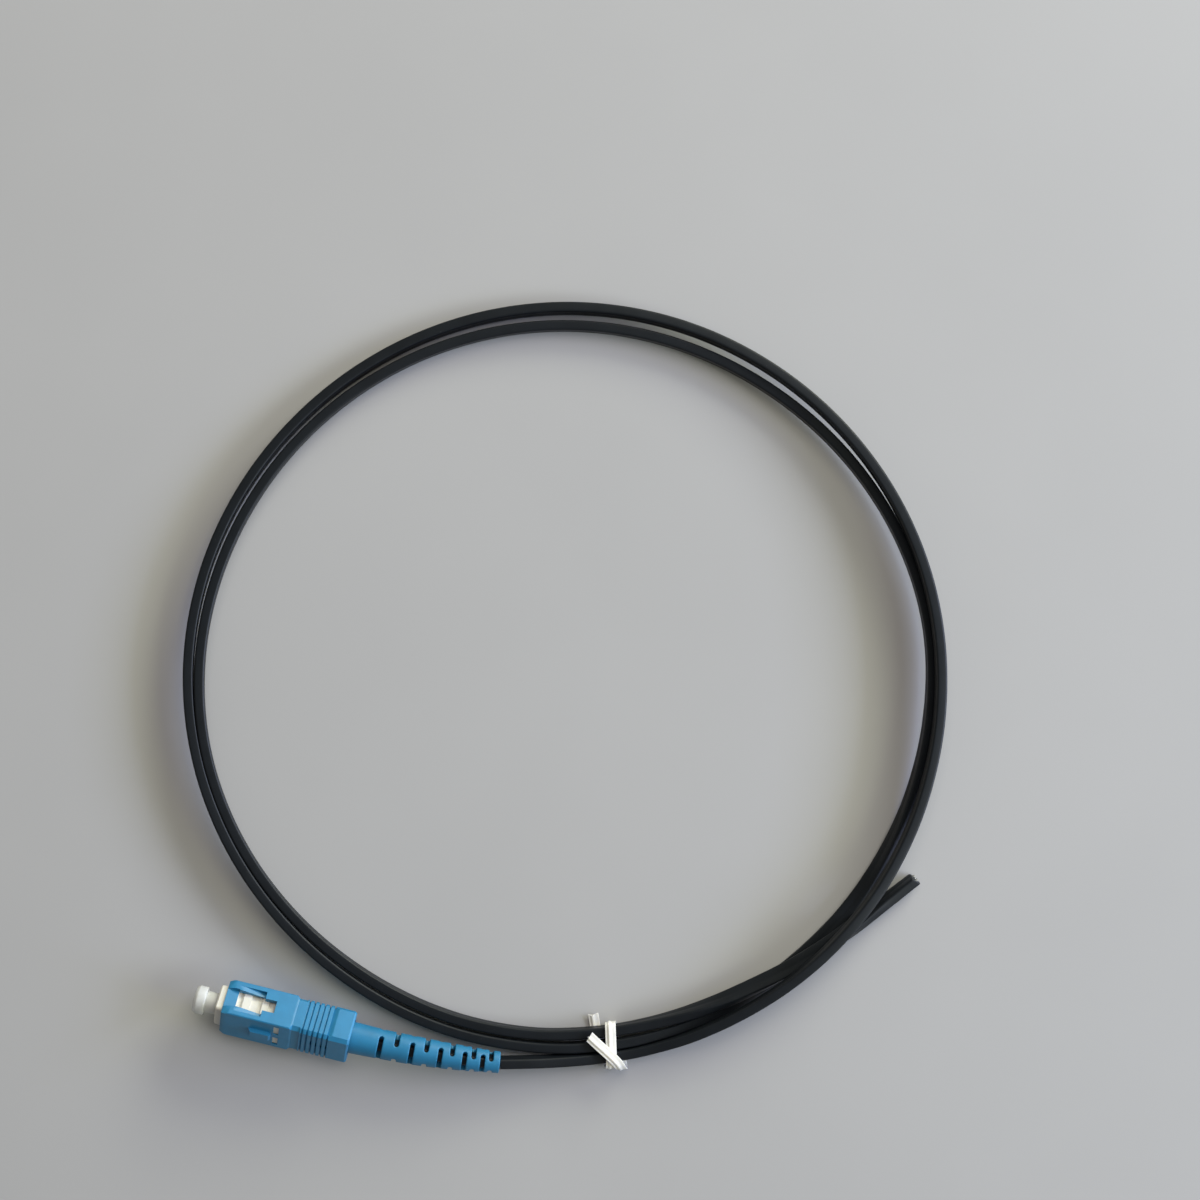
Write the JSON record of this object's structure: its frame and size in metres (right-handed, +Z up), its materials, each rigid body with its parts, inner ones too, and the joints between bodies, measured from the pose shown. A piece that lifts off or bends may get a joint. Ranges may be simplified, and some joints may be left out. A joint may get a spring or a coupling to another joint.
{
  "type": "sc fibre connector",
  "caption": "Push-pull fibre plug with sliding grip, sprung ferrule, pull-off dust cap and slit boot, on a flat drop cable coiled in loose turns and tied.",
  "frame": {"origin": "on the surface the part lies on, under the middle of the connector (dust cap tip to boot end)", "axes": "+X along the optical axis from the dust cap to the boot, +Y toward the cable loop, +Z up"},
  "size_m": [0.15, 0.1551, 0.0114],
  "materials": {
    "blue_shell": "moulded blue plastic with a satin sheen",
    "blue_boot": "soft blue elastomer, satin",
    "cream_frame": "moulded cream plastic",
    "cap_plastic": "translucent milky soft plastic",
    "zirconia": "ground white ceramic",
    "nickel": "nickel plated, turned",
    "inner_tube": "natural plastic tube",
    "glass_fibre": "clear silica",
    "spring_wire": "drawn steel wire",
    "crimp_metal": "crimped, satin",
    "cable_jacket": "extruded black jacket with a soft sheen",
    "rod_resin": "resin bonded glass rod",
    "fibre_coating": "coated fibre",
    "tie_film": "off-white plastic film",
    "tie_wire": "soft annealed wire"
  },
  "bodies": {
    "plug_core": {"plug_frame": "cream_frame", "stop_ring": "nickel", "crimp_sleeve": "crimp_metal", "spring": "spring_wire", "coated_fibre": "fibre_coating", "strength_rods": "rod_resin", "cable_in_boot": "cable_jacket", "boot": "blue_boot", "cable_lead": "cable_jacket", "cable_coil": "cable_jacket", "cable_tail": "cable_jacket", "tail_rods": "rod_resin", "tail_fibre": "fibre_coating", "tie_strip": "tie_film", "tie_wire": "tie_wire"},
    "grip": {"grip_housing": "blue_shell"},
    "ferrule_unit": {"ferrule": "zirconia", "ferrule_flange": "nickel", "guide_tube": "inner_tube", "bare_fibre": "glass_fibre"},
    "cap": {"dust_cap": "cap_plastic"}
  },
  "joints": [
    {"name": "grip_slide", "type": "slide", "parent": "plug_core", "child": "grip", "axis": [1, 0, 0], "range_m": [-0.0004, 0.0014]},
    {"name": "ferrule_float", "type": "slide", "parent": "plug_core", "child": "ferrule_unit", "axis": [1, 0, 0], "range_m": [0, 0.0015], "stiffness_N_per_m": 2000, "springref_m": -0.0035, "deforming": ["spring", "coated_fibre"]},
    {"name": "cap_pull", "type": "slide", "parent": "ferrule_unit", "child": "cap", "axis": [-1, 0, 0], "range_m": [0, 0.01]}
  ]
}
